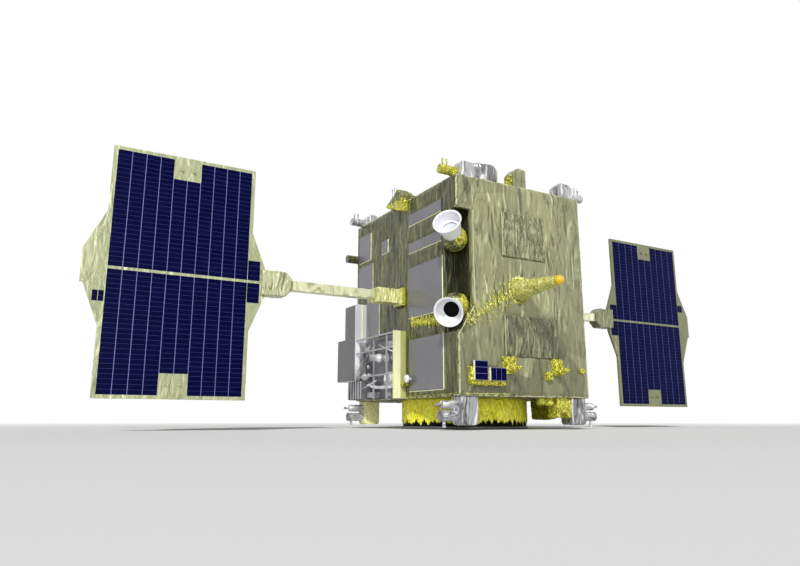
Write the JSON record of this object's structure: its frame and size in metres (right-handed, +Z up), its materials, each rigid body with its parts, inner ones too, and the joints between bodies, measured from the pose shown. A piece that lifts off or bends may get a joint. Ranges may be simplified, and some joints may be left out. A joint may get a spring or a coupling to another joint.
{
  "type": "interplanetary orbiter spacecraft",
  "caption": "Boxy planetary orbiter wrapped in blankets, on a launch adapter ring with engine, star trackers, instrument bay, and folding solar wings on turning drives.",
  "frame": {"origin": "centre of the adapter ring's lower face, on the floor", "axes": "+X along the right solar wing, -Y out of the plain blanket face, +Z up out of the roof"},
  "size_m": [5.156, 1.9726, 1.765],
  "materials": {
    "blanket": "wrinkled blanket, satin",
    "side_blanket": "wrinkled blanket, satin",
    "floor_blanket": "wrinkled blanket, dark",
    "pale_blanket": "pale yellow blanket",
    "boom_blanket": "pale yellow-green blanket",
    "gold_foil": "crinkled gold film",
    "silver_foil": "crinkled silver film",
    "dark_metal": "dark anodised",
    "light_metal": "satin",
    "tank_metal": "plain block",
    "radiator": "flat grey mirror tiles",
    "white_baffle": "white paint",
    "orange_dome": "orange dome",
    "wing_sheet": "pale film over honeycomb",
    "cell_blue": "dark blue cover glass"
  },
  "bodies": {
    "spacecraft": {"adapter_ring": "dark_metal", "back_wall": "blanket", "baffle_lower": "white_baffle", "baffle_upper": "white_baffle", "bay_boxes": "radiator", "bay_cameras": "silver_foil", "bay_frame": "light_metal", "bay_wall_back": "light_metal", "bay_wall_front": "pale_blanket", "blanket_patches": "blanket", "cell_coupons": "cell_blue", "cluster_back_left": "silver_foil", "cluster_back_right": "silver_foil", "cluster_front_left": "silver_foil", "cluster_front_right": "silver_foil", "coupon_box": "gold_foil", "dish_antenna": "white_baffle", "edge_hood": "gold_foil", "engine_deck": "dark_metal", "floor_boxes": "gold_foil", "floor_panel": "floor_blanket", "front_wall": "blanket", "horn_sensors": "gold_foil", "left_root": "boom_blanket", "left_wall": "side_blanket", "low_gain_cone": "gold_foil", "low_gain_dome": "orange_dome", "main_engine": "light_metal", "radiators_back_left": "radiator", "radiators_left": "radiator", "radiators_right": "radiator", "recess_lining": "side_blanket", "ribbed_box": "light_metal", "right_root": "boom_blanket", "right_wall": "side_blanket", "ring_liner": "gold_foil", "ring_skirt": "gold_foil", "roof_boxes": "silver_foil", "roof_drum": "silver_foil", "roof_panel": "blanket", "roof_thrusters": "silver_foil", "side_eye": "side_blanket", "sun_eyes": "gold_foil", "tank_block": "tank_metal", "thrusters_back_left": "silver_foil", "thrusters_back_right": "silver_foil", "thrusters_front_left": "silver_foil", "thrusters_front_right": "silver_foil", "tracker_lower": "gold_foil", "tracker_upper": "gold_foil", "valve_box": "gold_foil"},
    "left_arm": {"left_boom": "boom_blanket"},
    "right_arm": {"right_boom": "boom_blanket"},
    "left_wing": {"left_drive": "boom_blanket", "left_panel": "wing_sheet", "left_cells": "cell_blue"},
    "right_wing": {"right_drive": "boom_blanket", "right_panel": "wing_sheet", "right_cells": "cell_blue"}
  },
  "joints": [
    {"name": "left_boom_fold", "type": "hinge", "parent": "spacecraft", "child": "left_arm", "pos_m": [-0.753, 0.044, 0.911], "axis": [0, 0, -1], "range_deg": [0, 90]},
    {"name": "left_wing_drive", "type": "hinge", "parent": "left_arm", "child": "left_wing", "pos_m": [-1.352, 0, 0.911], "axis": [1, 0, 0], "range_deg": [-180, 180]},
    {"name": "right_boom_fold", "type": "hinge", "parent": "spacecraft", "child": "right_arm", "pos_m": [0.753, 0.044, 0.911], "axis": [0, 0, 1], "range_deg": [0, 90]},
    {"name": "right_wing_drive", "type": "hinge", "parent": "right_arm", "child": "right_wing", "pos_m": [1.352, 0, 0.911], "axis": [1, 0, 0], "range_deg": [-180, 180]}
  ]
}
